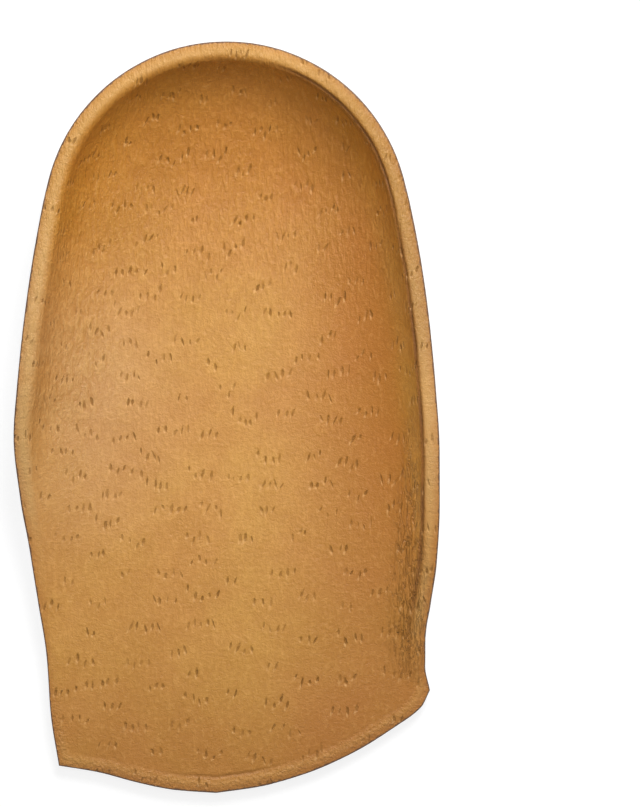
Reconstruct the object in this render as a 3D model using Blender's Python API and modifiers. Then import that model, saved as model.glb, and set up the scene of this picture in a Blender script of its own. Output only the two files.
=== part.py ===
"""An orthotic insole that reaches from the heel to the arch: a thick moulded shell with a leather cover.

The heel points to +Y, the thin front edge to -Y, and the insole stands on its flat base at Z = 0.
Its long flange, under the inner side of the foot, is at +X. All lengths are in metres.
"""

import math
from bisect import bisect
from collections import namedtuple

import bmesh
import bpy
from mathutils import Vector

# Plan of the leather's outer edge
LENGTH = 0.132
WIDTH = 0.0746
HEEL_RADIUS = 0.032
HEEL_ARC = math.radians(75)  # the heel is round for this angle each way from its back
TIP_OUT = -0.002  # the front tip lies a little to the outer side of the centre line
LEFT_CORNER_OUT = 0.0298  # from the centre line out to each front corner
LEFT_CORNER_BACK = 0.0048  # from the front tip back to each front corner
RIGHT_CORNER_OUT = 0.0358
RIGHT_CORNER_BACK = 0.0181

# Layers
LEATHER = 0.001
BOND_GAP = 0.0003
HEEL_SHELL = 0.0027  # the shell's thickness under the heel, the arch and the front edge
ARCH_SHELL = 0.0046
FRONT_SHELL = 0.0012
ARCH_BACK = 0.044  # from the front edge back to where the arch is thickest

# Cup and its rim
CUP_DEPTH = 0.0115
CUP_CENTRE = 0.034  # from the heel's back to the lowest place of the cup
CREST_INSET = 0.0019  # from the outer edge to the top of the rim
EDGE_ROLL = 0.00025  # how far the outer edge lies below the top of the rim
LIP_RADIUS = 0.0003  # of the shell's lip, under the leather
LIP_REACH = 0.5  # the least share of that rounding that the lip keeps where it has no wall
WALL_ANGLE = math.radians(74)  # the wall's slope just under the rim
FULL_WALL = 0.008  # a wall of this height has the whole slope
STEEP_SHARE = 0.34  # the share of the wall's height that falls at once, just under the rim
STEEP_POWER = 12  # how fast that share falls, and how fast the rest does
BOWL_POWER = 2.4

# Outside of the shell
BASE_INSET = 0.0076  # the most that the flat base lies inside the leather's outer edge
BASE_ROUND = 0.0006
BASE_ROUND_STEPS = 2

# Marks moulded in the flat base
RECESS_RADIUS = 0.015
RECESS_DEPTH = 0.00035
PIN_MARK_RADIUS = 0.0019
PIN_MARK_DEPTH = 0.0003
PIN_MARK_INSET = 0.0078  # from the outer edge of the heel to the middle of a mark
PIN_MARK_ANGLES = (-38, 0, 38)

# Fineness of the solids
ARC_STEPS = 12
ROW_STEPS = 2
SHOULDER_STEPS = 3
BOWL_SHARES = (0.03, 0.07, 0.13, 0.21, 0.31, 0.43, 0.58, 0.78, 1.0)
SPINE_RADIUS = 0.003  # of the narrow loop round the middle line, where the sections end
CIRCLE_SIDES = 48
SHARP_ANGLE = math.radians(35)

# The sides of the plan, from the end of the heel's arc to the front corner. along is a share of that
# way, half_width of WIDTH / 2, wall of CUP_DEPTH, inset of BASE_INSET, and bowl of the way from the
# foot of the rim to the middle of the insole.
Side = namedtuple("Side", "along half_width wall inset bowl")
HEEL_BACK = Side(None, None, 0.97, 0.42, 0.94)
ARC_END = Side(0, None, 1.00, 0.60, 0.72)
LEFT_SIDE = (
    Side(0.104, 0.889, 1.00, 0.70, 0.60),
    Side(0.215, 0.938, 0.96, 0.86, 0.56),
    Side(0.351, 0.981, 0.78, 1.00, 0.54),
    Side(0.440, 1.000, 0.57, 1.00, 0.54),
    Side(0.544, 0.973, 0.27, 0.94, 0.54),
    Side(0.621, 0.936, 0.11, 0.78, 0.54),
    Side(0.718, 0.894, 0.02, 0.50, 0.54),
    Side(0.814, 0.854, 0.00, 0.33, 0.54),
    Side(0.911, 0.836, 0.00, 0.20, 0.54),
)
RIGHT_SIDE = (
    Side(0.120, 0.893, 1.00, 0.70, 0.74),
    Side(0.247, 0.941, 0.97, 0.86, 0.74),
    Side(0.402, 0.979, 0.87, 1.00, 0.72),
    Side(0.535, 0.999, 0.74, 1.00, 0.70),
    Side(0.640, 1.000, 0.58, 0.98, 0.68),
    Side(0.746, 0.988, 0.41, 0.84, 0.64),
    Side(0.824, 0.962, 0.27, 0.68, 0.58),
    Side(0.901, 0.936, 0.12, 0.48, 0.52),
    Side(0.950, 0.936, 0.05, 0.32, 0.50),
)
CORNER = Side(1, None, 0.00, 0.13, 0.50)

# The front edge, from its tip to each corner: out is a share of the way across to the corner, and
# back of the way back to it.
Front = namedtuple("Front", "out back")
FRONT_LEFT = (Front(0, 0), Front(0.25, 0.10), Front(0.50, 0.38), Front(0.76, 0.77), Front(1, 1))
FRONT_RIGHT = (
    Front(0, 0),
    Front(0.20, 0.06),
    Front(0.42, 0.19),
    Front(0.63, 0.38),
    Front(0.84, 0.65),
    Front(0.96, 0.84),
    Front(1, 1),
)

# One place on the outer edge, with the place on the middle line that its section runs to
Station = namedtuple("Station", "edge spine wall inset bowl")


def clamp(value, low=0.0, high=1.0):
    return max(low, min(high, value))


def ease(share):
    """Goes smoothly from 0 to 1."""
    share = clamp(share)
    return share * share * (3 - 2 * share)


def curve_at(xs, ys, x, first_slope=None):
    """Reads a smooth curve through the points (xs, ys), which never overshoots them, at x."""
    steps = [(ys[i + 1] - ys[i]) / (xs[i + 1] - xs[i]) for i in range(len(xs) - 1)]
    inner = [2 * a * b / (a + b) if a * b > 0 else 0 for a, b in zip(steps, steps[1:])]
    slopes = [steps[0] if first_slope is None else first_slope, *inner, steps[-1]]
    i = int(clamp(bisect(xs, x) - 1, 0, len(xs) - 2))
    width = xs[i + 1] - xs[i]
    s = clamp((x - xs[i]) / width)
    hermite = (1 + 2 * s) * (1 - s) ** 2, s * (1 - s) ** 2, s * s * (3 - 2 * s), s * s * (s - 1)
    parts = ys[i], slopes[i] * width, ys[i + 1], slopes[i + 1] * width
    return sum(h * p for h, p in zip(hermite, parts))


def divided(knots, steps):
    """The knots, with each gap between them cut into this many steps."""
    gaps = zip(knots, knots[1:])
    return [a + (b - a) * n / steps for a, b in gaps for n in range(steps)] + [knots[-1]]


def front_back(x):
    """How far the front edge lies behind the front tip, at x."""
    left = x < TIP_OUT
    rows, corner_back = (FRONT_LEFT, LEFT_CORNER_BACK) if left else (FRONT_RIGHT, RIGHT_CORNER_BACK)
    reach = TIP_OUT + LEFT_CORNER_OUT if left else RIGHT_CORNER_OUT - TIP_OUT
    share = clamp(abs(x - TIP_OUT) / reach)
    return corner_back * curve_at([r.out for r in rows], [r.back for r in rows], share)


def shell_floor(x, y):
    """Thickness of the shell at (x, y), without the walls of the cup."""
    to_arch = LENGTH - ARCH_BACK - CUP_CENTRE
    along = ease((LENGTH / 2 - y - CUP_CENTRE) / to_arch)
    behind = HEEL_SHELL + (ARCH_SHELL - HEEL_SHELL) * along
    to_front = y + LENGTH / 2 - front_back(x)
    thin = (1 - clamp(to_front / ARCH_BACK)) ** 2
    return behind + (FRONT_SHELL - behind) * thin


def arc_station(share, side):
    """A station on the heel's arc: share is 0 at the back and 1 where the arc ends, side is 1 or -1."""
    centre = Vector((0, LENGTH / 2 - HEEL_RADIUS))
    turn = HEEL_ARC * share
    edge = centre + HEEL_RADIUS * Vector((side * math.sin(turn), math.cos(turn)))
    middle = Vector((0, LENGTH / 2 - CUP_CENTRE))
    turn = math.pi / 2 * share
    spine = middle + SPINE_RADIUS * Vector((side * math.sin(turn), math.cos(turn)))
    between = [a + (b - a) * ease(share) for a, b in zip(HEEL_BACK[2:], ARC_END[2:])]
    return Station(edge, spine, *between)


def side_stations(rows, side, corner_out, corner_back):
    """Stations from the end of the heel's arc to the front corner, both included."""
    start = arc_station(1, side).edge
    length = start.y + LENGTH / 2 - corner_back
    first = ARC_END._replace(half_width=abs(start.x) / (WIDTH / 2))
    last = CORNER._replace(half_width=corner_out / (WIDTH / 2))
    columns = Side(*zip(first, *rows, last))
    arc_slope = length / math.tan(HEEL_ARC) / (WIDTH / 2)
    spine_length = LENGTH - CUP_CENTRE - spine_front()
    found = []
    for along in divided(columns.along, ROW_STEPS):
        half_width = curve_at(columns.along, columns.half_width, along, arc_slope) * WIDTH / 2
        rest = [curve_at(columns.along, column, along) for column in columns[2:]]
        edge = Vector((side * half_width, start.y - along * length))
        spine = Vector((side * SPINE_RADIUS, LENGTH / 2 - CUP_CENTRE - along * spine_length))
        found.append(Station(edge, spine, *rest))
    return found


def spine_front():
    """How far the middle line ends behind the front tip: as far as a front corner is from it."""
    return (LEFT_CORNER_OUT + RIGHT_CORNER_OUT) / 2


def front_stations():
    """Stations on the front edge, from the right corner to the left one, without the corners."""
    right = [
        TIP_OUT + (RIGHT_CORNER_OUT - TIP_OUT) * out
        for out in divided([r.out for r in FRONT_RIGHT], ROW_STEPS)
    ]
    left = [
        TIP_OUT - (TIP_OUT + LEFT_CORNER_OUT) * out
        for out in divided([r.out for r in FRONT_LEFT], ROW_STEPS)
    ]
    across = right[-2:0:-1] + left[:-1]
    middle = Vector((0, spine_front() - LENGTH / 2))
    found = []
    for n, x in enumerate(across, 1):
        turn = math.pi * n / (len(across) + 1)
        spine = middle + SPINE_RADIUS * Vector((math.cos(turn), -math.sin(turn)))
        edge = Vector((x, front_back(x) - LENGTH / 2))
        found.append(Station(edge, spine, *CORNER[2:]))
    return found


def stations():
    """Every station, clockwise from the heel's back as seen from above."""
    arc = [n / ARC_STEPS for n in range(ARC_STEPS)]
    right = side_stations(RIGHT_SIDE, 1, RIGHT_CORNER_OUT, RIGHT_CORNER_BACK)
    left = side_stations(LEFT_SIDE, -1, LEFT_CORNER_OUT, LEFT_CORNER_BACK)
    return [
        *(arc_station(share, 1) for share in arc),
        *right,
        *front_stations(),
        *left[::-1],
        *(arc_station(share, -1) for share in arc[:0:-1]),
    ]


def wall_profile(station, length):
    """The section of the leather's top as (inset from the outer edge, height over the floor)."""
    wall = station.wall * CUP_DEPTH
    whole = ease(wall / FULL_WALL)
    radius = LEATHER + BOND_GAP + LIP_RADIUS
    points = [(CREST_INSET * s, wall - EDGE_ROLL * (1 - s) ** 2) for s in (0, 0.5, 1)]
    for step in range(1, SHOULDER_STEPS + 1):
        angle = WALL_ANGLE * whole * step / SHOULDER_STEPS
        reach = radius * max(math.sin(angle), LIP_REACH * step / SHOULDER_STEPS)
        points.append((CREST_INSET + reach, wall - radius * (1 - math.cos(angle))))
    foot, height = points[-1]
    bowl = station.bowl * (length - foot)
    steep = STEEP_SHARE * whole
    for share in BOWL_SHARES:
        left = 1 - share
        fall = steep * left**STEEP_POWER + (1 - steep) * left**BOWL_POWER
        points.append((foot + bowl * share, height * fall))
    return [*points, (length, 0)]


def section(station, depth):
    """World points of the surface that lies this deep under the leather's top, from edge to middle."""
    inward = station.spine - station.edge
    length = inward.length
    inward /= length
    profile = []
    for inset, height in wall_profile(station, length):
        place = station.edge + inward * inset
        profile.append(Vector((inset, height + shell_floor(*place) + BOND_GAP + LEATHER)))
    found = []
    for n, point in enumerate(profile):
        before, after = profile[max(0, n - 1)], profile[min(len(profile) - 1, n + 1)]
        along = (after - before).normalized()
        sunk = point + depth * Vector((along.y, -along.x))
        place = station.edge + inward * (sunk.x if n < len(profile) - 1 else length)
        found.append(Vector((*place, sunk.y)))
    return found


def lofted_mesh(name, sections, close_first):
    """A mesh through closed rings of sections. The last ring is closed by rungs across the middle."""
    mesh = bmesh.new()
    rings = [[mesh.verts.new(point) for point in points] for points in sections]
    count, depth = len(rings), len(rings[0])
    for i in range(count):
        here, following = rings[i], rings[(i + 1) % count]
        for k in range(depth - 1):
            mesh.faces.new((here[k], here[k + 1], following[k + 1], following[k]))
    middle = [ring[-1] for ring in rings]
    half = count // 2
    mesh.faces.new((middle[1], middle[0], middle[-1]))
    for i in range(1, half - 1):
        mesh.faces.new((middle[i + 1], middle[i], middle[-i], middle[-i - 1]))
    mesh.faces.new((middle[half], middle[half - 1], middle[half + 1]))
    if close_first:
        mesh.faces.new([ring[0] for ring in rings])
    data = bpy.data.meshes.new(name)
    mesh.to_mesh(data)
    mesh.free()
    return data


def material(name, colour, roughness):
    made = bpy.data.materials.new(name)
    made.use_nodes = True
    shader = made.node_tree.nodes["Principled BSDF"]
    shader.inputs["Base Color"].default_value = (*colour, 1)
    shader.inputs["Roughness"].default_value = roughness
    shader.inputs["Metallic"].default_value = 0
    made.diffuse_color = (*colour, 1)
    return made


def add_object(name, data, collection, finish):
    data.materials.append(finish)
    data.shade_smooth()
    data.set_sharp_from_angle(angle=SHARP_ANGLE)
    obj = bpy.data.objects.new(name, data)
    collection.objects.link(obj)
    return obj


def make_cover(collection):
    """The leather: an open surface over the cup and its rim, thickened downwards."""
    data = lofted_mesh("leather_cover", [section(s, 0) for s in stations()], close_first=False)
    leather = material("leather", (0.56, 0.27, 0.07), 0.5)
    cover = add_object("leather_cover", data, collection, leather)
    thickness = cover.modifiers.new("thickness", "SOLIDIFY")
    thickness.thickness = LEATHER
    thickness.offset = -1
    thickness.use_even_offset = True
    return cover


def make_shell(collection):
    """The moulded body: its top fits under the leather, and its sides lean in to a flat base."""
    sections = []
    for station in stations():
        inward = (station.spine - station.edge).normalized()
        base = station.edge + inward * station.inset * BASE_INSET
        sections.append([Vector((*base, 0)), *section(station, LEATHER + BOND_GAP)])
    data = lofted_mesh("shell", sections, close_first=True)
    mark_base_edge(data)
    shell = add_object("shell", data, collection, material("moulded_white", (0.85, 0.85, 0.86), 0.45))
    rounding = shell.modifiers.new("base_round", "BEVEL")
    rounding.width = BASE_ROUND
    rounding.segments = BASE_ROUND_STEPS
    rounding.limit_method = "WEIGHT"
    return shell


def mark_base_edge(data):
    """Gives the edge round the flat base a bevel weight."""
    weights = data.attributes.new("bevel_weight_edge", "FLOAT", "EDGE")
    on_ground = [vertex.co.z == 0 for vertex in data.vertices]
    for edge in data.edges:
        weights.data[edge.index].value = float(all(on_ground[v] for v in edge.vertices))


def cut_round(shell, name, place, radius, depth, cutters):
    """Sinks a shallow round recess in the flat base."""
    bpy.ops.mesh.primitive_cylinder_add(
        vertices=CIRCLE_SIDES, radius=radius, depth=2 * depth, location=(*place, 0)
    )
    cutter = bpy.context.object
    cutter.name = name
    cutter.hide_render = True
    cutter.display_type = "WIRE"
    for collection in cutter.users_collection:
        collection.objects.unlink(cutter)
    cutters.objects.link(cutter)
    cut = shell.modifiers.new(name, "BOOLEAN")
    cut.operation = "DIFFERENCE"
    cut.object = cutter


def cut_marks(shell, cutters):
    """The round recess under the heel, and the marks of the mould's three pins behind it."""
    heel = LENGTH / 2
    cut_round(shell, "recess", (0, heel - CUP_CENTRE), RECESS_RADIUS, RECESS_DEPTH, cutters)
    reach = HEEL_RADIUS - PIN_MARK_INSET
    for n, degrees in enumerate(PIN_MARK_ANGLES, 1):
        turn = math.radians(degrees)
        place = reach * math.sin(turn), heel - HEEL_RADIUS + reach * math.cos(turn)
        cut_round(shell, f"pin_mark_{n}", place, PIN_MARK_RADIUS, PIN_MARK_DEPTH, cutters)


def new_collection(name):
    made = bpy.data.collections.new(name)
    bpy.context.scene.collection.children.link(made)
    return made


def main():
    for obj in list(bpy.data.objects):
        bpy.data.objects.remove(obj, do_unlink=True)
    insole = new_collection("orthotic_insole")
    cutters = new_collection("cutters")
    shell = make_shell(insole)
    cut_marks(shell, cutters)
    make_cover(insole)


main()
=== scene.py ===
"""Looks of the orthotic insole: tan pigskin over a white moulded shell, on a pale studio floor.

The shell and the leather are modelled again here, much finer than the solids they stand for, from the
same sections. Lengths are in metres, and in millimetres where a name ends in _MM.
"""

import math
import random
from bisect import bisect
from collections import namedtuple

import bmesh
import bpy
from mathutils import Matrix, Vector, noise
from mathutils.kdtree import KDTree


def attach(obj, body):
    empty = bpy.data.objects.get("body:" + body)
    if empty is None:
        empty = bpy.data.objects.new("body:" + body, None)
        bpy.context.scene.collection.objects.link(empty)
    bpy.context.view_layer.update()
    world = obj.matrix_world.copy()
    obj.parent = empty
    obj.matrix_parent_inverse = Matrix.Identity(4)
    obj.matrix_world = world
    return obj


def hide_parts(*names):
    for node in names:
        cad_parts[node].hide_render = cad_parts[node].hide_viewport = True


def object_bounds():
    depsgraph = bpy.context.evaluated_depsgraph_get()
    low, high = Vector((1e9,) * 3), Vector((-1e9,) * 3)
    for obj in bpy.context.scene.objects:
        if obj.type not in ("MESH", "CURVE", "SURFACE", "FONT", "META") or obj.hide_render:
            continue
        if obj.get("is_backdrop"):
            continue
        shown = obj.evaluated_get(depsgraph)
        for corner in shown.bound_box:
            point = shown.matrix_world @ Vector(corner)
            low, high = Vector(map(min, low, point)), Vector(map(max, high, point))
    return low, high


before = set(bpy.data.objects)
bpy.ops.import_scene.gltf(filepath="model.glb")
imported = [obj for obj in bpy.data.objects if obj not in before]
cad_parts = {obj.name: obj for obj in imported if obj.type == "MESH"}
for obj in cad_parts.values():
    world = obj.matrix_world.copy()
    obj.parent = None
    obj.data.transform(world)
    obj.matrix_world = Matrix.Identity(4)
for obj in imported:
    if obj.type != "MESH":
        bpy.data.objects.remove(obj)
CAD_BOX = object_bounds()
BODY = "root"
SIZE = CAD_BOX[1] - CAD_BOX[0]
MM = 0.001

# Plan of the leather's outer edge
LENGTH = SIZE.y
WIDTH = SIZE.x
HEEL_RADIUS = 0.032
HEEL_ARC = math.radians(75)
TIP_OUT = -0.002
LEFT_CORNER_OUT = 0.0298
LEFT_CORNER_BACK = 0.0048
RIGHT_CORNER_OUT = 0.0358
RIGHT_CORNER_BACK = 0.0181

# Layers
LEATHER = 0.001
GLUE = 0.00006
HEEL_SHELL = 0.0027
ARCH_SHELL = 0.0046
FRONT_SHELL = 0.0012
ARCH_BACK = 0.044
BOND_GAP = 0.0003

# Cup and its rim
CUP_DEPTH = SIZE.z - HEEL_SHELL - BOND_GAP - LEATHER
CUP_CENTRE = 0.034
CREST_INSET = 0.0019
EDGE_ROLL = 0.00025
SHOULDER_RADIUS = 0.0016
SHOULDER_REACH = 0.5
WALL_ANGLE = math.radians(74)
FULL_WALL = 0.008
STEEP_SHARE = 0.34
STEEP_POWER = 12
BOWL_POWER = 2.4

# Outside of the shell
BASE_INSET = 0.0076
BASE_ROUND = 0.0007
SPINE_RADIUS = 0.003

# Marks moulded in the flat base
RECESS_RADIUS = 0.015
RECESS_DEPTH = 0.00035
PIN_MARK_RADIUS = 0.0019
PIN_MARK_DEPTH = 0.0003
PIN_MARK_INSET = 0.0078
PIN_MARK_ANGLES = (-38, 0, 38)

# The sides of the plan: along is a share of the way from the end of the heel's arc to the front corner,
# half_width of WIDTH / 2, wall of CUP_DEPTH, inset of BASE_INSET, and bowl of the way to the middle.
Side = namedtuple("Side", "along half_width wall inset bowl")
HEEL_BACK = Side(None, None, 0.97, 0.42, 0.94)
ARC_END = Side(0, None, 1.00, 0.60, 0.72)
LEFT_SIDE = (
    Side(0.104, 0.889, 1.00, 0.70, 0.60),
    Side(0.215, 0.938, 0.96, 0.86, 0.56),
    Side(0.351, 0.981, 0.78, 1.00, 0.54),
    Side(0.440, 1.000, 0.57, 1.00, 0.54),
    Side(0.544, 0.973, 0.27, 0.94, 0.54),
    Side(0.621, 0.936, 0.11, 0.78, 0.54),
    Side(0.718, 0.894, 0.02, 0.50, 0.54),
    Side(0.814, 0.854, 0.00, 0.33, 0.54),
    Side(0.911, 0.836, 0.00, 0.20, 0.54),
)
RIGHT_SIDE = (
    Side(0.120, 0.893, 1.00, 0.70, 0.74),
    Side(0.247, 0.941, 0.97, 0.86, 0.74),
    Side(0.402, 0.979, 0.87, 1.00, 0.72),
    Side(0.535, 0.999, 0.74, 1.00, 0.70),
    Side(0.640, 1.000, 0.58, 0.98, 0.68),
    Side(0.746, 0.988, 0.41, 0.84, 0.64),
    Side(0.824, 0.962, 0.27, 0.68, 0.58),
    Side(0.901, 0.936, 0.12, 0.48, 0.52),
    Side(0.950, 0.936, 0.05, 0.32, 0.50),
)
CORNER = Side(1, None, 0.00, 0.13, 0.50)

# The front edge, from its tip to each corner, as shares of the way across and back to the corner
Front = namedtuple("Front", "out back")
FRONT_LEFT = (Front(0, 0), Front(0.25, 0.10), Front(0.50, 0.38), Front(0.76, 0.77), Front(1, 1))
FRONT_RIGHT = (
    Front(0, 0),
    Front(0.20, 0.06),
    Front(0.42, 0.19),
    Front(0.63, 0.38),
    Front(0.84, 0.65),
    Front(0.96, 0.84),
    Front(1, 1),
)

# Fineness of the meshes
ARC_STEPS = 64
ROW_STEPS = 16
Fineness = namedtuple("Fineness", "roll shoulder bowl flat")
FINE = Fineness(roll=8, shoulder=10, bowl=52, flat=28)
COARSE = Fineness(roll=2, shoulder=4, bowl=12, flat=2)
RUNGS = 14  # across the middle, between the two sides of its loop
CUT_STEPS = 4
WALL_STEPS = 12
ROUND_STEPS = 6
UNDER_RINGS = (0, 4, 8, 12, 18, 24, 30, 38, 46, 56, 68, 82, -1)  # rings of the top that the underside has
FRONT_FADE = 14  # stations over which the look of the front edge fades out past a corner
FAR_FROM_EDGE_MM = 99

# Relief of the leather
SEED = 7
BEAD_MM = 0.08
BEAD_AT_MM = 1.3
GROOVE_MM = 0.20
GROOVE_AT_MM = 2.9
CREASE_MM = 0.22
CREASE_AT_MM = 3.15
UNEVEN_MM = 0.07
WRINKLE_MM = 0.18
WRINKLES_RIGHT_MM = 32.3  # how far right of the middle line the fine folds lie
SLIT_DEPTH_MM = 0.06
PUCKER_MM = 0.05

# Pores of the pigskin, in groups
GROUP_TRIES = 9000
GROUP_ACROSS_MM = 6.2
GROUP_ALONG_MM = 4.35
GROUP_COUNTS = (2, 3, 3, 4, 4, 4, 5)
SLIT_HALF_WIDTH_MM = 0.22
SLIT_HALF_LENGTH_MM = 0.8
FLAT_REACH_MM = (46, 78)  # the flattened leather lies within this, across and along
LONG_SHARE = 0.5  # lengths along the leather count this much in the search for the nearest slit
NO_SLIT = (9.0, 9.0, 0.0)

# Light
KEY_PLACE = (0.1, 0.3, 0.33)
KEY_TARGET = (0, 0.03, 0)
KEY_SIZE = 0.24
KEY_POWER = 1.85
FILL_PLACE = (-0.5, 0.1, 0.32)
FILL_SIZE = 0.4
FILL_POWER = 0.28
OVERHEAD_PLACE = (0.1, 0.2, 1.1)
OVERHEAD_SIZE = 0.9
OVERHEAD_POWER = 2.3
WORLD_HORIZON = 0.26
WORLD_TOP = 0.4
FLOOR_GLOW = 0.74
FLOOR_RADIUS = 2.5
FLOOR_DROP = 0.05 * MM  # keeps the floor clear of the flat base

# Camera and photo
PHOTO_WIDTH = 640
PHOTO_HEIGHT = 807
PHOTO_BOX = (15, 44, 439, 795)  # the insole's left, top, right and bottom in the photo
CAMERA_DISTANCE = 1.0
SENSOR = 36

Station = namedtuple("Station", "edge spine wall inset bowl")


def clamp(value, low=0.0, high=1.0):
    return max(low, min(high, value))


def ease(share):
    share = clamp(share)
    return share * share * (3 - 2 * share)


def bump(x):
    """A smooth hill, 1 high at 0 and 0 beyond 1 each way."""
    return (1 - min(1, x * x)) ** 2


def curve_at(xs, ys, x, first_slope=None):
    """Reads a smooth curve through the points (xs, ys), which never overshoots them, at x."""
    steps = [(ys[i + 1] - ys[i]) / (xs[i + 1] - xs[i]) for i in range(len(xs) - 1)]
    inner = [2 * a * b / (a + b) if a * b > 0 else 0 for a, b in zip(steps, steps[1:])]
    slopes = [steps[0] if first_slope is None else first_slope, *inner, steps[-1]]
    i = int(clamp(bisect(xs, x) - 1, 0, len(xs) - 2))
    width = xs[i + 1] - xs[i]
    s = clamp((x - xs[i]) / width)
    hermite = (1 + 2 * s) * (1 - s) ** 2, s * (1 - s) ** 2, s * s * (3 - 2 * s), s * s * (s - 1)
    parts = ys[i], slopes[i] * width, ys[i + 1], slopes[i + 1] * width
    return sum(h * p for h, p in zip(hermite, parts))


def divided(knots, steps):
    """The knots, with each gap between them cut into this many steps."""
    gaps = zip(knots, knots[1:])
    return [a + (b - a) * n / steps for a, b in gaps for n in range(steps)] + [knots[-1]]


def front_back(x):
    """How far the front edge lies behind the front tip, at x."""
    left = x < TIP_OUT
    rows, corner_back = (FRONT_LEFT, LEFT_CORNER_BACK) if left else (FRONT_RIGHT, RIGHT_CORNER_BACK)
    reach = TIP_OUT + LEFT_CORNER_OUT if left else RIGHT_CORNER_OUT - TIP_OUT
    share = clamp(abs(x - TIP_OUT) / reach)
    return corner_back * curve_at([r.out for r in rows], [r.back for r in rows], share)


def shell_floor(x, y):
    """Thickness of the shell at (x, y), without the walls of the cup."""
    to_arch = LENGTH - ARCH_BACK - CUP_CENTRE
    along = ease((LENGTH / 2 - y - CUP_CENTRE) / to_arch)
    behind = HEEL_SHELL + (ARCH_SHELL - HEEL_SHELL) * along
    to_front = y + LENGTH / 2 - front_back(x)
    thin = (1 - clamp(to_front / ARCH_BACK)) ** 2
    return behind + (FRONT_SHELL - behind) * thin


def arc_station(share, side):
    """A station on the heel's arc: share is 0 at the back and 1 where the arc ends, side is 1 or -1."""
    centre = Vector((0, LENGTH / 2 - HEEL_RADIUS))
    turn = HEEL_ARC * share
    edge = centre + HEEL_RADIUS * Vector((side * math.sin(turn), math.cos(turn)))
    middle = Vector((0, LENGTH / 2 - CUP_CENTRE))
    turn = math.pi / 2 * share
    spine = middle + SPINE_RADIUS * Vector((side * math.sin(turn), math.cos(turn)))
    between = [a + (b - a) * ease(share) for a, b in zip(HEEL_BACK[2:], ARC_END[2:])]
    return Station(edge, spine, *between)


def side_stations(rows, side, corner_out, corner_back):
    """Stations from the end of the heel's arc to the front corner, both included."""
    start = arc_station(1, side).edge
    length = start.y + LENGTH / 2 - corner_back
    first = ARC_END._replace(half_width=abs(start.x) / (WIDTH / 2))
    last = CORNER._replace(half_width=corner_out / (WIDTH / 2))
    columns = Side(*zip(first, *rows, last))
    arc_slope = length / math.tan(HEEL_ARC) / (WIDTH / 2)
    spine_length = LENGTH - CUP_CENTRE - spine_front()
    found = []
    for along in divided(columns.along, ROW_STEPS):
        half_width = curve_at(columns.along, columns.half_width, along, arc_slope) * WIDTH / 2
        rest = [curve_at(columns.along, column, along) for column in columns[2:]]
        edge = Vector((side * half_width, start.y - along * length))
        spine = Vector((side * SPINE_RADIUS, LENGTH / 2 - CUP_CENTRE - along * spine_length))
        found.append(Station(edge, spine, *rest))
    return found


def spine_front():
    """How far the middle line ends behind the front tip: as far as a front corner is from it."""
    return (LEFT_CORNER_OUT + RIGHT_CORNER_OUT) / 2


def front_stations():
    """Stations on the front edge, from the right corner to the left one, without the corners."""
    right = [
        TIP_OUT + (RIGHT_CORNER_OUT - TIP_OUT) * out
        for out in divided([r.out for r in FRONT_RIGHT], ROW_STEPS)
    ]
    left = [
        TIP_OUT - (TIP_OUT + LEFT_CORNER_OUT) * out
        for out in divided([r.out for r in FRONT_LEFT], ROW_STEPS)
    ]
    across = right[-2:0:-1] + left[:-1]
    middle = Vector((0, spine_front() - LENGTH / 2))
    found = []
    for n, x in enumerate(across, 1):
        turn = math.pi * n / (len(across) + 1)
        spine = middle + SPINE_RADIUS * Vector((math.cos(turn), -math.sin(turn)))
        edge = Vector((x, front_back(x) - LENGTH / 2))
        found.append(Station(edge, spine, *CORNER[2:]))
    return found


def all_stations():
    """Every station, clockwise from the heel's back as seen from above."""
    arc = [n / ARC_STEPS for n in range(ARC_STEPS)]
    right = side_stations(RIGHT_SIDE, 1, RIGHT_CORNER_OUT, RIGHT_CORNER_BACK)
    left = side_stations(LEFT_SIDE, -1, LEFT_CORNER_OUT, LEFT_CORNER_BACK)
    return [
        *(arc_station(share, 1) for share in arc),
        *right,
        *front_stations(),
        *left[::-1],
        *(arc_station(share, -1) for share in arc[:0:-1]),
    ]


def wall_profile(station, length, fineness):
    """The section of the leather's top as (inset from the outer edge, height over the floor)."""
    wall = station.wall * CUP_DEPTH
    whole = ease(wall / FULL_WALL)
    points = []
    for step in range(fineness.roll + 1):
        share = step / fineness.roll
        points.append((CREST_INSET * share, wall - EDGE_ROLL * (1 - share) ** 2))
    for step in range(1, fineness.shoulder + 1):
        share = step / fineness.shoulder
        angle = WALL_ANGLE * whole * share
        reach = SHOULDER_RADIUS * max(math.sin(angle), SHOULDER_REACH * share)
        points.append((CREST_INSET + reach, wall - SHOULDER_RADIUS * (1 - math.cos(angle))))
    foot, height = points[-1]
    bowl = station.bowl * (length - foot)
    steep = STEEP_SHARE * whole
    for step in range(1, fineness.bowl + 1):
        share = (step / fineness.bowl) ** 1.5
        left = 1 - share
        fall = steep * left**STEEP_POWER + (1 - steep) * left**BOWL_POWER
        points.append((foot + bowl * share, height * fall))
    end = foot + bowl
    for step in range(1, fineness.flat + 1):
        points.append((end + (length - end) * step / fineness.flat, 0))
    return points


def section(station, depth, fineness):
    """World points of the surface that lies this deep under the leather's top, from edge to middle."""
    inward = station.spine - station.edge
    length = inward.length
    inward /= length
    profile = []
    for inset, height in wall_profile(station, length, fineness):
        place = station.edge + inward * inset
        profile.append(Vector((inset, height + shell_floor(*place) + BOND_GAP + LEATHER)))
    found = []
    for n, point in enumerate(profile):
        before, after = profile[max(0, n - 1)], profile[min(len(profile) - 1, n + 1)]
        along = (after - before).normalized()
        sunk = point + depth * Vector((along.y, -along.x))
        place = station.edge + inward * (sunk.x if n < len(profile) - 1 else length)
        found.append(Vector((*place, sunk.y)))
    return found


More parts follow.
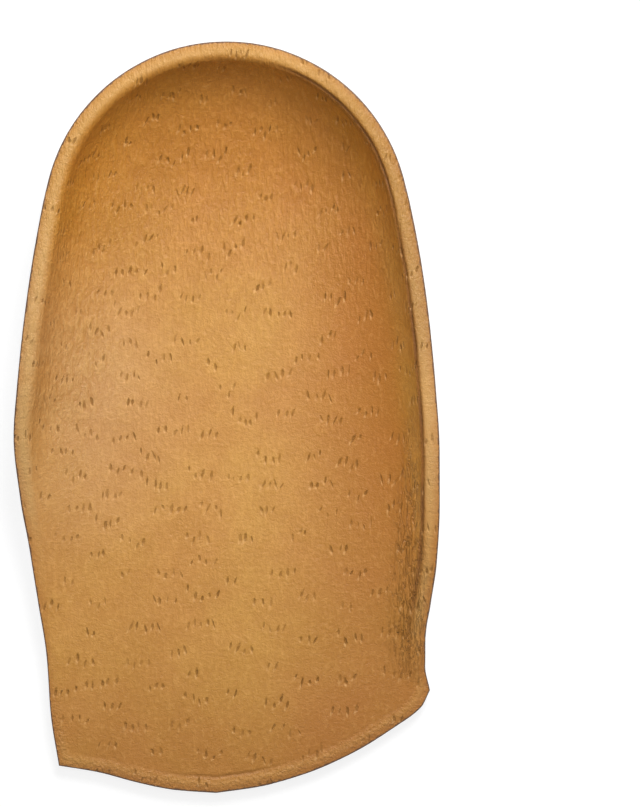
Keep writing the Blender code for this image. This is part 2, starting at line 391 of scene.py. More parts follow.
STATIONS = all_stations()
COUNT = len(STATIONS)
RIGHT_CORNER = ARC_STEPS + (len(RIGHT_SIDE) + 1) * ROW_STEPS
LEFT_CORNER = COUNT - ARC_STEPS - (len(LEFT_SIDE) + 1) * ROW_STEPS


def hills(place, size_mm, seed=0.0, stretch=(1, 1, 1)):
    """Smooth noise from -1 to 1 whose hills are about this wide."""
    scaled = [c / MM / size_mm / s for c, s in zip(place, stretch)]
    return noise.noise(Vector((scaled[0] + seed, scaled[1] - seed, scaled[2] + 2 * seed)))


class Slits:
    """The pores of the pigskin: short slits in groups, laid out on the flattened leather in mm."""

    Slit = namedtuple("Slit", "u v slant half_width half_length strength")

    def __init__(self):
        self.dice = random.Random(SEED)
        self.slits = [slit for centre in self.centres() for slit in self.group(*centre)]
        self.tree = KDTree(len(self.slits))
        for n, slit in enumerate(self.slits):
            self.tree.insert((slit.u, slit.v * LONG_SHARE, 0), n)
        self.tree.balance()

    def centres(self):
        """Scattered places, none nearer to another than a group's own room."""
        kept = []
        reach_u, reach_v = FLAT_REACH_MM
        for _ in range(GROUP_TRIES):
            u = self.dice.uniform(-reach_u, reach_u)
            v = self.dice.uniform(-reach_v, reach_v)
            if all(math.hypot((u - a) / GROUP_ACROSS_MM, (v - b) / GROUP_ALONG_MM) > 1 for a, b in kept):
                kept.append((u, v))
        return kept

    def group(self, u, v):
        """A short row that bends into a U, leans or zigzags; wider spaced toward the front."""
        dice = self.dice
        count = dice.choice(GROUP_COUNTS)
        forward = clamp((45 - v) / 95)
        spacing = dice.uniform(0.9, 1.2) + 0.25 * forward
        bend = dice.uniform(-0.1, 0.35)
        lean = dice.gauss(0, 0.2)
        zigzag = dice.uniform(-0.35, 0.35)
        strength = dice.uniform(0.65, 1)
        for n in range(count):
            off = n - (count - 1) / 2
            rise = off * lean + bend * off * off + zigzag * (-1) ** n
            yield self.Slit(
                u + off * spacing + dice.uniform(-0.24, 0.24),
                v + rise + dice.uniform(-0.35, 0.35),
                dice.gauss(0.1, 0.22),
                SLIT_HALF_WIDTH_MM * dice.uniform(0.65, 1.3),
                SLIT_HALF_LENGTH_MM * dice.uniform(0.55, 1.15),
                strength * dice.uniform(0.55, 1),
            )

    def nearest(self, u, v):
        return self.slits[self.tree.find((u, v * LONG_SHARE, 0))[1]]

    def local(self, slit, u, v):
        """Place in the slit's own ellipse: 1 at its outline, across and along it."""
        du, dv = u - slit.u, v - slit.v
        return (du - slit.slant * dv) / slit.half_width, dv / slit.half_length


SLITS = Slits()


def ring_faces(first, second, flip=False):
    """Quads between two closed rings of vertex numbers."""
    count = len(first)
    for i in range(count):
        j = (i + 1) % count
        quad = (first[i], second[i], second[j], first[j])
        yield quad[::-1] if flip else quad


def middle_faces(ring, rungs, flip=False):
    """Faces that close a ring: rungs[i - 1] lists the vertices across from ring[i] to ring[-i]."""
    half = len(ring) // 2
    first, last = rungs[0], rungs[-1]
    faces = [(ring[0], first[k + 1], first[k]) for k in range(len(first) - 1)]
    for here, following in zip(rungs, rungs[1:]):
        for k in range(len(here) - 1):
            faces.append((following[k], here[k], here[k + 1], following[k + 1]))
    faces += [(last[k], last[k + 1], ring[half]) for k in range(len(last) - 1)]
    return [face[::-1] for face in faces] if flip else faces


def crease_weight(n):
    """Where the crisp fold under the rim shows: on the right, from the heel's back to the flange's end."""
    if n < ARC_STEPS:
        return ease((n / ARC_STEPS - 0.12) / 0.3)
    along = (n - ARC_STEPS) / (RIGHT_CORNER - ARC_STEPS)
    if along <= 1:
        return 1 - ease((along - 0.55) / 0.35)
    return 0


def crease_at(n, along, place, half_width):
    """Strength of the fold under the rim, and of the fainter one beside it round the heel."""
    weight = crease_weight(n)
    if not weight:
        return 0
    off = along - CREASE_AT_MM - 0.15 * hills(place, 5, seed=5)
    uneven = 0.9 + 0.35 * hills(place, 6, seed=17)
    main = bump(off / half_width)
    second = 0.45 * bump((off - 1.1) / half_width) * (1 - ease((n - ARC_STEPS) / ROW_STEPS))
    return weight * uneven * max(main, second)


def front_weight(n):
    """1 along the front edge, down to 0 just past the corners."""
    return ease((min(n - RIGHT_CORNER, LEFT_CORNER - n) + FRONT_FADE) / FRONT_FADE)


def bead_share(place):
    """The bead along the front is clear in its middle and faint beside it."""
    return 0.1 + 0.7 * bump(place.x / (14 * MM)) + 0.15 * hills(place, 7, seed=11)


def relief(n, along, place, flat):
    """How far the leather stands up, in mm, at a point this far in from its edge."""
    up = UNEVEN_MM * (hills(place, 9) + 0.4 * hills(place, 4, seed=3))
    front = front_weight(n) * bead_share(place)
    if front:
        up += front * BEAD_MM * bump((along - BEAD_AT_MM) / 1.1)
        up -= front * GROOVE_MM * bump((along - GROOVE_AT_MM) / 0.5)
    up -= CREASE_MM * crease_at(n, along, place, 0.45)
    up += wrinkles(place, flat)
    slit = SLITS.nearest(*flat)
    across, lengthwise = SLITS.local(slit, *flat)
    off = math.hypot(across, lengthwise)
    up -= slit.strength * (SLIT_DEPTH_MM * bump(off / 1.6) - PUCKER_MM * bump((off - 2.2) / 1.6))
    return up


def wrinkles(place, flat):
    """Fine folds that run along the foot of the flange, on the right."""
    x, y = place.x / MM, place.y / MM
    across = bump((x - WRINKLES_RIGHT_MM) / (3 + 4 * ease(-y / 35)))
    lengthwise = ease((8 - y) / 14) * ease((y + 46) / 10)
    if x < 0 or not across * lengthwise:
        return 0
    wave = noise.noise(Vector((flat[0] / 1.2, flat[1] / 7, 4)))
    return -WRINKLE_MM * across * lengthwise * (abs(wave) ** 0.6 * 1.1 - 0.5)


class LeatherMesh:
    """The leather's top, cut edge and underside as one closed mesh, with what its shader needs."""

    def __init__(self):
        self.places = []
        self.flat = []
        self.edge_distance = []
        self.station = []
        self.faces = []
        self.build_top()
        self.displace()
        self.build_under()

    def add(self, place, flat, edge_distance, station):
        self.places.append(place)
        self.flat.append(flat)
        self.edge_distance.append(edge_distance)
        self.station.append(station)
        return len(self.places) - 1

    def build_top(self):
        columns = []
        for n, station in enumerate(STATIONS):
            points = section(station, 0, FINE)
            steps = [(b - a).length for a, b in zip(points, points[1:])]
            total = sum(steps)
            outward = (station.edge - station.spine).normalized()
            column = []
            gone = 0.0
            for k, point in enumerate(points):
                flat = (station.spine + outward * (total - gone)) / MM
                column.append(self.add(point, flat, gone / MM, n))
                gone += steps[k] if k < len(steps) else 0
            columns.append(column)
        self.rings = [list(ring) for ring in zip(*columns)]
        for outer, inner in zip(self.rings, self.rings[1:]):
            self.faces += ring_faces(outer, inner)
        self.faces += middle_faces(self.rings[-1], self.rungs(self.rings[-1]))
        self.top_count = len(self.places)
        self.top_faces = len(self.faces)

    def rungs(self, ring):
        rows = []
        for i in range(1, COUNT // 2):
            start, end = ring[i], ring[-i]
            row = [start]
            for k in range(1, RUNGS):
                share = k / RUNGS
                place = self.places[start].lerp(self.places[end], share)
                place.z = shell_floor(place.x, place.y) + BOND_GAP + LEATHER
                flat = self.flat[start].lerp(self.flat[end], share)
                row.append(self.add(place, flat, FAR_FROM_EDGE_MM, i))
            rows.append([*row, end])
        return rows

    def normals(self):
        data = bpy.data.meshes.new("scratch")
        data.from_pydata([tuple(p) for p in self.places], [], self.faces)
        found = [vertex.normal.copy() for vertex in data.vertices]
        bpy.data.meshes.remove(data)
        return found

    def displace(self):
        """Adds the relief, and keeps the smooth surface and its normals for the underside."""
        self.ups = self.normals()
        self.base = [p.copy() for p in self.places]
        for k, place in enumerate(self.places):
            up = relief(self.station[k], self.edge_distance[k], place, self.flat[k])
            self.places[k] = place + self.ups[k] * up * MM

    def build_under(self):
        """The cut edge and the underside, whose rings follow the top's, a leather's thickness below."""
        under = []
        for r in UNDER_RINGS:
            ring = []
            for k in self.rings[r]:
                sunk = self.base[k] - self.ups[k] * LEATHER
                ring.append(self.add(sunk, self.flat[k], self.edge_distance[k], self.station[k]))
            under.append(ring)
        bands = [self.rings[0]]
        for step in range(1, CUT_STEPS):
            share = step / CUT_STEPS
            ring = []
            for top, low in zip(self.rings[0], under[0]):
                place = self.places[top].lerp(self.places[low], share)
                outward = self.places[top] - self.places[self.rings[2][self.station[top]]]
                outward.z = 0
                rough = 0.04 + 0.05 * hills(place, 0.5, seed=21) + 0.05 * hills(place, 2, seed=23)
                place += outward.normalized() * rough * MM * math.sin(math.pi * share)
                ring.append(self.add(place, self.flat[top], 0, self.station[top]))
            bands.append(ring)
        bands.append(under[0])
        for upper, lower in zip(bands, bands[1:]):
            self.faces += ring_faces(upper, lower, flip=True)
        for outer, inner in zip(under, under[1:]):
            self.faces += ring_faces(outer, inner, flip=True)
        ring = under[-1]
        rows = [[ring[i], ring[-i]] for i in range(1, COUNT // 2)]
        self.faces += middle_faces(ring, rows, flip=True)

    def mesh(self):
        data = bpy.data.meshes.new("leather")
        data.from_pydata([tuple(p) for p in self.places], [], self.faces)
        data.shade_smooth()
        self.add_flat(data)
        data.attributes.new("edge_mm", "FLOAT", "POINT").data.foreach_set("value", self.edge_distance)
        self.add_zones(data)
        self.add_slits(data)
        return data

    def add_flat(self, data):
        """Place on the flattened leather, and how far round the edge from the heel's back."""
        attribute = data.attributes.new("flat_mm", "FLOAT_VECTOR", "POINT")
        edges = [station.edge for station in STATIONS]
        steps = [(b - a).length / MM for a, b in zip(edges, edges[1:] + edges[:1])]
        total = sum(steps)
        round_mm = [sum(steps[:n]) for n in range(COUNT)]
        round_mm = [far if far < total / 2 else far - total for far in round_mm]
        values = [c for f, n in zip(self.flat, self.station) for c in (f[0], f[1], round_mm[n])]
        attribute.data.foreach_set("vector", values)

    def add_zones(self, data):
        """Shares from 0 to 1: the burnished cut edge, the painted shade in the crease under the rim and in
        the groove along the front, and the rim's band.
        """
        attribute = data.attributes.new("zones", "FLOAT_COLOR", "POINT")
        values = []
        for k in range(len(self.places)):
            along = self.edge_distance[k]
            n = self.station[k]
            place = self.places[k]
            ragged = 0.24 + 0.16 * hills(place, 1.6, seed=31)
            edge = 1 if k >= self.top_count else 1 - ease(along / ragged)
            # Painted shade in the crease under the rim and in the front groove, kept in the second channel
            crease = crease_at(n, along, place, 0.85)
            groove_shade = front_weight(n) * bead_share(place) * bump((along - GROOVE_AT_MM) / 0.6)
            wall = STATIONS[n].wall
            soft = 1.9 - 1.1 * crease_weight(n)
            band = ease((2.7 + soft / 2 - along) / soft) * ease(wall / 0.3)
            band = max(band, 0.35 * ease((3.4 - along) / 1.6) * front_weight(n))
            values += [edge, max(crease, 0.5 * groove_shade), band, 1]
        attribute.data.foreach_set("color", values)

    def add_slits(self, data):
        """Each corner's place in the nearest slit's own ellipse, and the slit's strength."""
        attribute = data.attributes.new("slit", "FLOAT_VECTOR", "CORNER")
        values = []
        for number, face in enumerate(self.faces):
            if number >= self.top_faces:
                values += NO_SLIT * len(face)
                continue
            middle = sum((self.flat[k] for k in face), Vector((0, 0))) / len(face)
            slit = SLITS.nearest(*middle)
            for k in face:
                values += [*SLITS.local(slit, *self.flat[k]), slit.strength]
        attribute.data.foreach_set("vector", values)


class Nodes:
    """A short way to write a material's nodes: each call makes one node and gives its output."""

    def __init__(self, name):
        self.material = bpy.data.materials.new(name)
        self.material.use_nodes = True
        self.tree = self.material.node_tree
        self.shader = self.tree.nodes["Principled BSDF"]

    def node(self, kind, inputs=(), out=0, **settings):
        made = self.tree.nodes.new("ShaderNode" + kind)
        for key, value in settings.items():
            setattr(made, key, value)
        for key, value in dict(inputs).items():
            self.put(made.inputs[key], value)
        return made.outputs[out]

    def put(self, socket, value):
        if isinstance(value, bpy.types.NodeSocket):
            self.tree.links.new(value, socket)
        else:
            socket.default_value = value

    def math(self, operation, a, b=0.0, c=0.0):
        return self.node("Math", {0: a, 1: b, 2: c}, operation=operation)

    def add(self, a, b):
        return self.math("ADD", a, b)

    def times(self, a, b):
        return self.math("MULTIPLY", a, b)

    def vector(self, operation, a, b=(0, 0, 0)):
        return self.node("VectorMath", {0: a, 1: b}, operation=operation)

    def attribute(self, name, out="Vector"):
        return self.node("Attribute", attribute_name=name, out=out)

    def split(self, vector):
        made = self.tree.nodes.new("ShaderNodeSeparateXYZ")
        self.put(made.inputs[0], vector)
        return made.outputs[0], made.outputs[1], made.outputs[2]

    def noise(self, vector, scale, detail=2.0, roughness=0.5, distortion=0.0):
        inputs = {
            "Vector": vector,
            "Scale": scale,
            "Detail": detail,
            "Roughness": roughness,
            "Distortion": distortion,
        }
        return self.node("TexNoise", inputs)

    def length(self, a, b):
        return self.math("SQRT", self.add(self.times(a, a), self.times(b, b)))

    def off(self, value, centre):
        """How far the value is from the centre, either way."""
        return self.math("ABSOLUTE", self.add(value, -centre))

    def ramp(self, value, low, high, to_low=0.0, to_high=1.0):
        """A smooth step of value from low to high."""
        inputs = {"Value": value, "From Min": low, "From Max": high, "To Min": to_low, "To Max": to_high}
        return self.node("MapRange", inputs, interpolation_type="SMOOTHSTEP")

    def mix(self, share, a, b, blend="MIX"):
        made = self.tree.nodes.new("ShaderNodeMix")
        made.data_type = "RGBA"
        made.blend_type = blend
        self.put(made.inputs[0], share)
        self.put(made.inputs[6], a)
        self.put(made.inputs[7], b)
        return made.outputs[2]

    def finish(self, colour, roughness, height, bump_distance=MM):
        self.put(self.shader.inputs["Base Color"], colour)
        self.put(self.shader.inputs["Roughness"], roughness)
        normal = self.node("Bump", {"Height": height, "Distance": bump_distance, "Strength": 1.0})
        self.put(self.shader.inputs["Normal"], normal)
        return self.material


def rgb(red, green, blue):
    return red, green, blue, 1


TAN = rgb(0.59, 0.28, 0.058)
TAN_DEEP = rgb(0.505, 0.222, 0.036)
# Painted shade colour for the floor's right and front
TAN_SHADED = rgb(0.43, 0.165, 0.024)
# Painted sheen colour for the left of the floor
TAN_SHEEN = rgb(0.56, 0.325, 0.145)
GRAIN_BROWN = rgb(0.40, 0.15, 0.020)
GRAIN_LIGHT = rgb(0.74, 0.38, 0.11)
GREENER = rgb(0.97, 1.03, 0.84)
# Painted shade tint, multiplied in at the heel and on the right toward it
GOLDEN_SHADE = rgb(0.90, 0.76, 0.41)
RIM_TAN = rgb(0.56, 0.26, 0.065)
RIM_PALE = rgb(0.58, 0.36, 0.14)
RIM_HEEL = rgb(0.53, 0.26, 0.048)
RIM_FRONT = rgb(0.52, 0.23, 0.05)
# Painted highlight for the rim's crest
RIM_CREST_HIGHLIGHT = rgb(0.68, 0.41, 0.135)
# Painted shade for the rim's outer side
RIM_OUTSIDE_SHADE = rgb(0.42, 0.17, 0.034)
RIM_SHADED = rgb(0.76, 0.72, 0.58)
RIM_FLECK = rgb(0.33, 0.13, 0.022)
EDGE_STAIN = rgb(0.44, 0.155, 0.032)
EDGE_CUT = rgb(0.16, 0.075, 0.034)
# Painted shade for the crease under the rim and the front groove
CREASE_SHADE = rgb(0.19, 0.07, 0.010)
# Painted shade for the fine fold lines
FOLD_SHADE = rgb(0.24, 0.09, 0.012)
# Painted highlight for the pores' lit lips
SLIT_LIP_HIGHLIGHT = rgb(0.82, 0.46, 0.17)
# Painted shade for the inside of the pores
SLIT_SHADE = rgb(0.235, 0.092, 0.006)


class Pigskin(Nodes):
    """The leather's material. Places, distances and noise scales in it are in mm, or for one mm."""

    def __init__(self):
        super().__init__("pigskin")
        self.place = self.vector("SCALE", self.node("TexCoord", out="Object"))
        self.put(self.place.node.inputs["Scale"], 1 / MM)
        self.right, self.behind, _ = self.split(self.place)
        self.flat = self.attribute("flat_mm")
        _, _, self.round_mm = self.split(self.flat)
        self.edge_mm = self.attribute("edge_mm", "Fac")
        _, _, self.facing = self.split(self.node("TexCoord", out="Normal"))
        self.edge, self.crease, self.band = self.split(self.attribute("zones"))
        self.make_noises()
        self.make_slits()
        self.make_folds()
        heel_rough = self.ramp(self.behind, 5, 35, 0, 0.8)
        rough_share = self.math("MAXIMUM", heel_rough, self.ramp(self.right, -14, -27))
        self.rough_share = self.times(rough_share, self.ramp(self.behind, -15, 10))

    def make_noises(self):
        place = self.place
        self.patches = self.noise(place, 0.045, 3, 0.5)
        self.blotches = self.noise(place, 0.2, 4, 0.55)
        self.speckle = self.noise(place, 1.5, 3, 0.6)
        self.streaks = self.noise(self.vector("MULTIPLY", self.flat, (1.3, 0.38, 0)), 1.0, 3, 0.6)
        rim_place = self.node("CombineXYZ", {"X": self.round_mm, "Y": self.times(self.speckle, 0.8)})
        self.radial = self.noise(rim_place, 1.4, 2, 0.6)

    def make_slits(self):
        """Shares of the inside of a pore, where painted shade goes, and of the lit lip beside it, where a
        painted highlight goes.
        """
        across, lengthwise, strength = self.split(self.attribute("slit"))
        ragged = self.times(self.add(self.noise(self.place, 2.6, 2), -0.5), 1.1)
        distance = self.length(across, lengthwise)
        self.inside = self.times(self.ramp(self.add(distance, ragged), 1.2, 0.3), strength)
        lip_distance = self.length(self.add(across, 1.0), self.times(self.add(lengthwise, 0.95), 1.6))
        self.lip_and_highlight = self.times(self.ramp(lip_distance, 1.3, 0.2), strength)

    def make_folds(self):
        """Fine folds along the foot of the flange, on the right."""
        reach = self.ramp(self.behind, 0, -35, 1.8, 5.5)
        off = self.math("DIVIDE", self.off(self.right, 32.2), reach)
        crumpled = self.times(self.ramp(self.behind, 8, -12), self.ramp(self.behind, -49, -38))
        self.crumpled = self.times(crumpled, self.ramp(off, 1, 0.1))
        self.folds = self.noise(self.vector("MULTIPLY", self.flat, (1.15, 0.22, 0)), 1.0, 3, 0.65, 0.5)
        self.fold_line = self.times(self.ramp(self.off(self.folds, 0.5), 0.045, 0.0), self.crumpled)

    def floor_colour(self):
        """The bowl and the flat, with painted shade that makes them browner to the right and front and
        golden at the heel, and a painted sheen that makes them pale at the left.
        """
        right, behind = self.right, self.behind
        tone = self.add(self.times(self.patches, 0.5), self.times(self.blotches, 0.5))
        colour = self.mix(self.ramp(tone, 0.3, 0.7), TAN_DEEP, TAN)
        # Painted shade: darker and browner toward the right and the front, left off the rim band and the
        # steep walls
        right_front_shade = self.add(self.ramp(right, 2, 26, 0, 0.75), self.ramp(behind, -38, -64, 0, 0.7))
        right_front_shade = self.times(right_front_shade, self.ramp(self.band, 1, 0))
        right_front_shade = self.times(right_front_shade, self.ramp(self.facing, 0.55, 0.95))
        colour = self.mix(right_front_shade, colour, TAN_SHADED)
        hue = self.ramp(self.noise(self.place, 0.07, 2, 0.5), 0.3, 0.7)
        colour = self.mix(self.times(hue, 0.8), colour, GREENER, "MULTIPLY")
        # Painted shade: darker and more golden at the heel and on the flatter right half toward the heel
        heel_side = self.times(self.ramp(right, 4, 30), self.ramp(behind, -50, 0))
        heel_side = self.times(heel_side, self.ramp(self.facing, 0.5, 0.9))
        golden_shade = self.math("MAXIMUM", self.ramp(behind, 20, 48), heel_side)
        colour = self.mix(golden_shade, colour, GOLDEN_SHADE, "MULTIPLY")
        # Painted sheen: a pale patch on the left of the floor, broken up by the large noise
        sheen_far = self.length(self.add(right, 36), self.add(behind, -2))
        painted_sheen = self.times(self.ramp(sheen_far, 36, 8, 0, 0.5), self.ramp(self.patches, 0.2, 0.6, 0.5, 1))
        return self.mix(painted_sheen, colour, TAN_SHEEN)

    def grain_colour(self, colour):
        tint = self.add(self.times(self.speckle, 0.5), self.times(self.streaks, 0.5))
        brown = self.times(self.ramp(tint, 0.6, 0.4), self.ramp(self.rough_share, 0, 1, 0.22, 0.42))
        colour = self.mix(brown, colour, GRAIN_BROWN)
        return self.mix(self.ramp(tint, 0.5, 0.66, 0, 0.2), colour, GRAIN_LIGHT)

    def rim_colour(self, colour):
        """The rolled band: paler than the floor, with a painted highlight on its crest and painted shade
        toward its outer edge, and shaded and flecked on the right of the heel.
        """
        tint = self.mix(self.noise(self.place, 0.35, 3), RIM_TAN, RIM_PALE)
        tint = self.mix(self.ramp(self.behind, 20, 48), tint, RIM_HEEL)
        tint = self.mix(self.ramp(self.behind, -8, -24), tint, RIM_FRONT)
        # Painted highlight along the rim's crest, and painted shade toward its outer edge where it rolls
        # over
        tint = self.mix(self.ramp(self.off(self.edge_mm, 1.7), 1.3, 0, 0, 0.45), tint, RIM_CREST_HIGHLIGHT)
        tint = self.mix(self.ramp(self.edge_mm, 1.0, 0.2, 0, 0.3), tint, RIM_OUTSIDE_SHADE)
        colour = self.mix(self.times(self.band, 0.7), colour, tint)
        heel_right = self.times(self.ramp(self.right, 8, 30), self.ramp(self.behind, 0, 20))
        shaded = self.times(self.band, heel_right)
        colour = self.mix(self.times(shaded, 0.8), colour, RIM_SHADED, "MULTIPLY")
        flecks = self.ramp(self.noise(self.place, 0.9, 3, 0.65), 0.54, 0.68, 0, 0.4)
        return self.mix(self.times(flecks, shaded), colour, RIM_FLECK)

    def marked_colour(self, colour):
        """Stains beside the cut edge; painted shade in the crease, the groove, the folds and the pores; a
        painted highlight on the pores' lips; and the dark edge itself.
        """
        stain_far = self.add(self.edge_mm, self.times(self.add(self.blotches, -0.5), 2.5))
        stain = self.times(self.ramp(stain_far, 2.0, 0.2, 0, 0.3), self.ramp(self.behind, 5, -30, 0.2, 1))
        colour = self.mix(stain, colour, EDGE_STAIN)
        # Painted shade in the crease under the rim and the groove along the front
        colour = self.mix(self.times(self.crease, 0.9), colour, CREASE_SHADE)
        # Painted shade along the fine fold lines
        colour = self.mix(self.times(self.fold_line, 0.24), colour, FOLD_SHADE)
        # Painted highlight on the lit lip beside each pore
        colour = self.mix(self.times(self.lip_and_highlight, 0.5), colour, SLIT_LIP_HIGHLIGHT)
        # Painted shade inside each pore
        colour = self.mix(self.times(self.inside, 0.85), colour, SLIT_SHADE)
        line_width = self.add(self.times(self.radial, 0.7), -0.05)
        line = self.ramp(self.math("DIVIDE", self.edge_mm, line_width), 1.2, 0.5)
        return self.mix(self.math("MAXIMUM", self.edge, line), colour, EDGE_CUT)

    def bump_mm(self):
        """The sum of the grain's parts that are finer than the mesh, each with its height in mm."""
        cells = self.node("TexVoronoi", {"Vector": self.place, "Scale": 2.3}, feature="DISTANCE_TO_EDGE")
        front_rough = self.times(self.ramp(self.edge_mm, 3.4, 1.6), self.ramp(self.behind, -44, -54))
        height = self.times(self.ramp(cells, 0.0, 0.12), 0.015)
        parts = (
            (self.times(self.speckle, front_rough), 0.25),
            (self.speckle, 0.15),
            (self.streaks, self.ramp(self.rough_share, 0, 1, 0.1, 0.42)),
            (self.times(self.radial, self.band), 0.09),
            (self.noise(self.place, 4.0, 2, 0.6), 0.045),
            (self.fold_line, -0.14),
            (self.times(self.folds, self.crumpled), 0.4),
            (self.inside, -0.2),
            (self.lip_and_highlight, 0.04),
        )
        for part, high in parts:
            height = self.add(height, self.times(part, high))
        return height


def leather_material():
    nodes = Pigskin()
    colour = nodes.marked_colour(nodes.rim_colour(nodes.grain_colour(nodes.floor_colour())))
    roughness = nodes.add(nodes.times(nodes.blotches, 0.16), nodes.ramp(nodes.inside, 0, 1, 0.38, 0.6))
    return nodes.finish(colour, roughness, nodes.bump_mm())


def white_material():
    nodes = Nodes("moulded_white")
    place = nodes.vector("SCALE", nodes.node("TexCoord", out="Object"))
    nodes.put(place.node.inputs["Scale"], 1 / MM)
    streaks = nodes.noise(nodes.vector("MULTIPLY", place, (1.2, 1.2, 0.12)), 1.0, 3, 0.6)
    cloud = nodes.noise(place, 0.12, 3, 0.5)
    skin = nodes.noise(place, 2.2, 2, 0.6)
    colour = nodes.mix(cloud, rgb(0.66, 0.66, 0.66), rgb(0.72, 0.715, 0.71))
    colour = nodes.mix(nodes.ramp(streaks, 0.62, 0.42, 0, 0.18), colour, rgb(0.54, 0.54, 0.55))
    height = nodes.add(nodes.times(streaks, 0.03), nodes.times(skin, 0.012))
    roughness = nodes.ramp(cloud, 0.3, 0.7, 0.36, 0.5)
    return nodes.finish(colour, roughness, height)


def floor_material():
    nodes = Nodes("studio_floor")
    place = nodes.node("TexCoord", out="Object")
    tone = nodes.noise(place, 14, 2)
    colour = nodes.mix(tone, rgb(0.29, 0.29, 0.29), rgb(0.31, 0.31, 0.31))
    nodes.shader.inputs["Emission Color"].default_value = rgb(1, 1, 1)
    nodes.shader.inputs["Emission Strength"].default_value = FLOOR_GLOW
    height = nodes.noise(place, 900, 2)
    return nodes.finish(colour, 0.8, height, bump_distance=0.00002)


def add_piece(name, data, material, node):
    data.materials.append(material)
    piece = bpy.data.objects.new(name, data)
    bpy.context.scene.collection.objects.link(piece)
    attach(piece, BODY)
    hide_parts(node)
    return piece


def make_leather():
    piece = add_piece("pigskin_cover", LeatherMesh().mesh(), leather_material(), "leather_cover")


def round_places():
    """The round marks in the base as (centre, radius, depth, torn)."""
    heel = LENGTH / 2
    yield Vector((0, heel - CUP_CENTRE)), RECESS_RADIUS, RECESS_DEPTH, False
    reach = HEEL_RADIUS - PIN_MARK_INSET
    for degrees in PIN_MARK_ANGLES:
        turn = math.radians(degrees)
        centre = Vector((reach * math.sin(turn), heel - HEEL_RADIUS + reach * math.cos(turn)))
        yield centre, PIN_MARK_RADIUS, PIN_MARK_DEPTH, True


def add_round_mark(mesh, centre, radius, depth, torn):
    """A shallow round recess, seen from below. Returns the edges of its rim in the base's plane."""
    sides = 96 if not torn else 48
    steps = [(0, 0), (0.06 * MM, 0.03 * MM), (0.12 * MM, depth * 0.6), (0.2 * MM, depth)]
    if torn:
        steps += [(radius * s, depth) for s in (0.2, 0.3, 0.4, 0.5, 0.6, 0.7, 0.8, 0.9)]
    else:
        steps += [(0.4 * MM, depth), (radius * 0.5, depth)]
    rings = []
    for inset, height in steps:
        ring = []
        for n in range(sides):
            turn = 2 * math.pi * n / sides
            place = centre + (radius - inset) * Vector((math.sin(turn), math.cos(turn)))
            z = height
            if torn and inset > 0.25 * MM:
                z = depth - torn_stub(place, centre, radius)
            ring.append(mesh.verts.new((*place, z)))
        rings.append(ring)
    for outer, inner in zip(rings, rings[1:]):
        for face in ring_faces(outer, inner, flip=True):
            mesh.faces.new(face)
    tip = mesh.verts.new((*centre, depth - (torn_stub(centre, centre, radius) if torn else 0)))
    for a, b in zip(rings[-1], rings[-1][1:] + rings[-1][:1]):
        mesh.faces.new((b, a, tip))
    return [mesh.edges.get((a, b)) for a, b in zip(rings[0], rings[0][1:] + rings[0][:1])]


def torn_stub(place, centre, radius):
    """Height of the torn plastic that a pin leaves in its mark."""
    off = (place - centre) / radius
    turn = math.atan2(centre.x, centre.y - LENGTH / 2 + HEEL_RADIUS) + 0.5
    a = off.x * math.cos(turn) - off.y * math.sin(turn)
    b = off.x * math.sin(turn) + off.y * math.cos(turn)
    ridge = bump((abs(a) - 0.3) / 0.32) * bump(b / 0.85)
    ragged = 0.6 + 0.6 * noise.noise(Vector((place.x * 2500, place.y * 2500, 3)))
    return PIN_MARK_DEPTH * 0.95 * clamp(ridge * ragged, 0, 1)


def shell_sections():
    """For each station, the points from the flat base, round its edge, up the wall and over the top."""
    found = []
    for station in STATIONS:
        inward = (station.spine - station.edge).normalized()
        corner = Vector((*(station.edge + inward * station.inset * BASE_INSET), 0))
        top = section(station, LEATHER + GLUE, COARSE)
        rise = top[0] - corner
        height = rise.length
        radius = min(BASE_ROUND, 0.4 * height)
        start = corner + Vector((*inward, 0)) * radius
        end = corner + rise * radius / height
        points = [start + Vector((*inward, 0)) * 0.3 * MM]
        for step in range(ROUND_STEPS + 1):
            share = step / ROUND_STEPS
            points.append(start.lerp(corner, share).lerp(corner.lerp(end, share), share))
        for step in range(1, WALL_STEPS):
            points.append(end.lerp(top[0], step / WALL_STEPS))
        found.append([*points, *top])
    return found


def make_shell():
    mesh = bmesh.new()
    columns = [[mesh.verts.new(point) for point in points] for points in shell_sections()]
    rings = list(zip(*columns))
    for lower, upper in zip(rings, rings[1:]):
        for face in ring_faces(lower, upper):
            mesh.faces.new(face)
    ring = rings[-1]
    rows = [[ring[i], ring[-i]] for i in range(1, COUNT // 2)]
    for face in middle_faces(ring, rows):
        mesh.faces.new(face)
    outline = rings[0]
    edges = [mesh.edges.get((a, b)) for a, b in zip(outline, outline[1:] + outline[:1])]
    for mark in round_places():
        edges += add_round_mark(mesh, *mark)
    bmesh.ops.triangle_fill(mesh, use_beauty=True, use_dissolve=False, edges=edges, normal=(0, 0, -1))
    bmesh.ops.recalc_face_normals(mesh, faces=mesh.faces)
    data = bpy.data.meshes.new("shell")
    mesh.to_mesh(data)
    mesh.free()
    data.shade_smooth()
    data.set_sharp_from_angle(angle=math.radians(40))
    piece = add_piece("white_shell", data, white_material(), "shell")


def add_area(name, place, target, size, power):
    light = bpy.data.lights.new(name, "AREA")
    light.shape = "DISK"
    light.size = size
    light.energy = power
    lamp = bpy.data.objects.new(name, light)
    lamp.location = place
    lamp.rotation_euler = (Vector(target) - Vector(place)).to_track_quat("-Z", "Y").to_euler()
    bpy.context.scene.collection.objects.link(lamp)


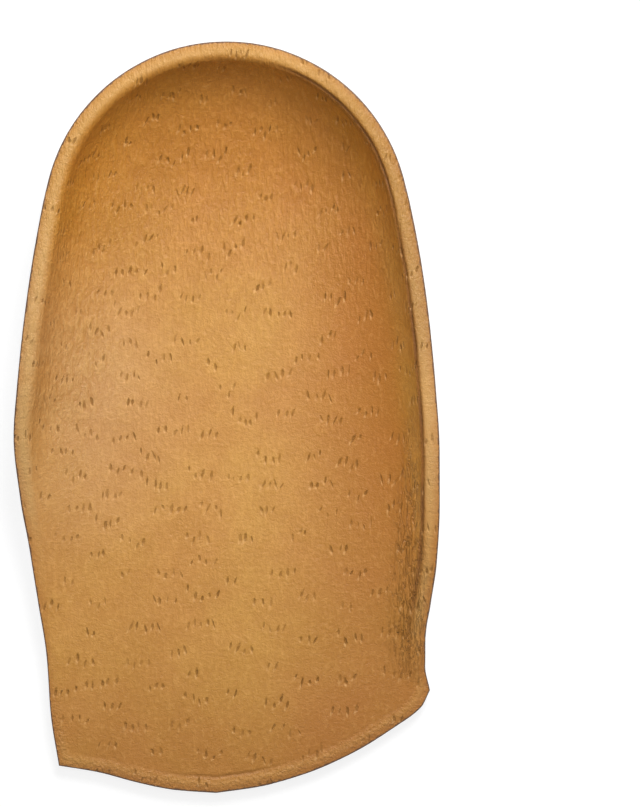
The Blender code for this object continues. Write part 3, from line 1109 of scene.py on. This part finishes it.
def make_studio():
    place = (0, 0, -FLOOR_DROP)
    bpy.ops.mesh.primitive_circle_add(vertices=96, radius=FLOOR_RADIUS, fill_type="NGON", location=place)
    floor = bpy.context.object
    floor.name = "studio_floor"
    floor.data.materials.append(floor_material())
    floor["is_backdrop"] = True
    add_area("key", KEY_PLACE, KEY_TARGET, KEY_SIZE, KEY_POWER)
    add_area("overhead", OVERHEAD_PLACE, (0, 0, 0), OVERHEAD_SIZE, OVERHEAD_POWER)
    add_area("fill", FILL_PLACE, (0, 0, 0), FILL_SIZE, FILL_POWER)
    bpy.context.scene.world = make_world()
    bpy.context.scene.view_settings.view_transform = "Standard"


def make_world():
    """A pale surround that is brighter overhead."""
    world = bpy.data.worlds.new("studio")
    world.use_nodes = True
    tree = world.node_tree
    coordinates = tree.nodes.new("ShaderNodeTexCoord")
    split = tree.nodes.new("ShaderNodeSeparateXYZ")
    brightness = tree.nodes.new("ShaderNodeMapRange")
    brightness.inputs["To Min"].default_value = WORLD_HORIZON
    brightness.inputs["To Max"].default_value = WORLD_TOP
    tree.links.new(coordinates.outputs["Generated"], split.inputs[0])
    tree.links.new(split.outputs["Z"], brightness.inputs["Value"])
    tree.links.new(brightness.outputs[0], tree.nodes["Background"].inputs["Strength"])
    tree.nodes["Background"].inputs["Color"].default_value = rgb(1, 1, 1)
    return world


def make_camera():
    """Straight above the photo's middle, with the insole as large as the photo shows it."""
    left, top, right, bottom = PHOTO_BOX
    scale = LENGTH / (bottom - top)
    x = (PHOTO_WIDTH / 2 - (left + right) / 2) * scale
    y = ((top + bottom) / 2 - PHOTO_HEIGHT / 2) * scale
    data = bpy.data.cameras.new("camera")
    data.sensor_width = SENSOR
    data.lens = SENSOR * CAMERA_DISTANCE / (PHOTO_HEIGHT * scale)
    camera = bpy.data.objects.new("camera", data)
    camera.location = (x, y, CAMERA_DISTANCE + 0.5 * SIZE.z)
    bpy.context.scene.collection.objects.link(camera)
    bpy.context.scene.camera = camera


make_shell()
make_leather()
make_studio()
make_camera()
boxes = {"cad": CAD_BOX, "visual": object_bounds()}
{name: [list(corner) for corner in box] for name, box in boxes.items()}
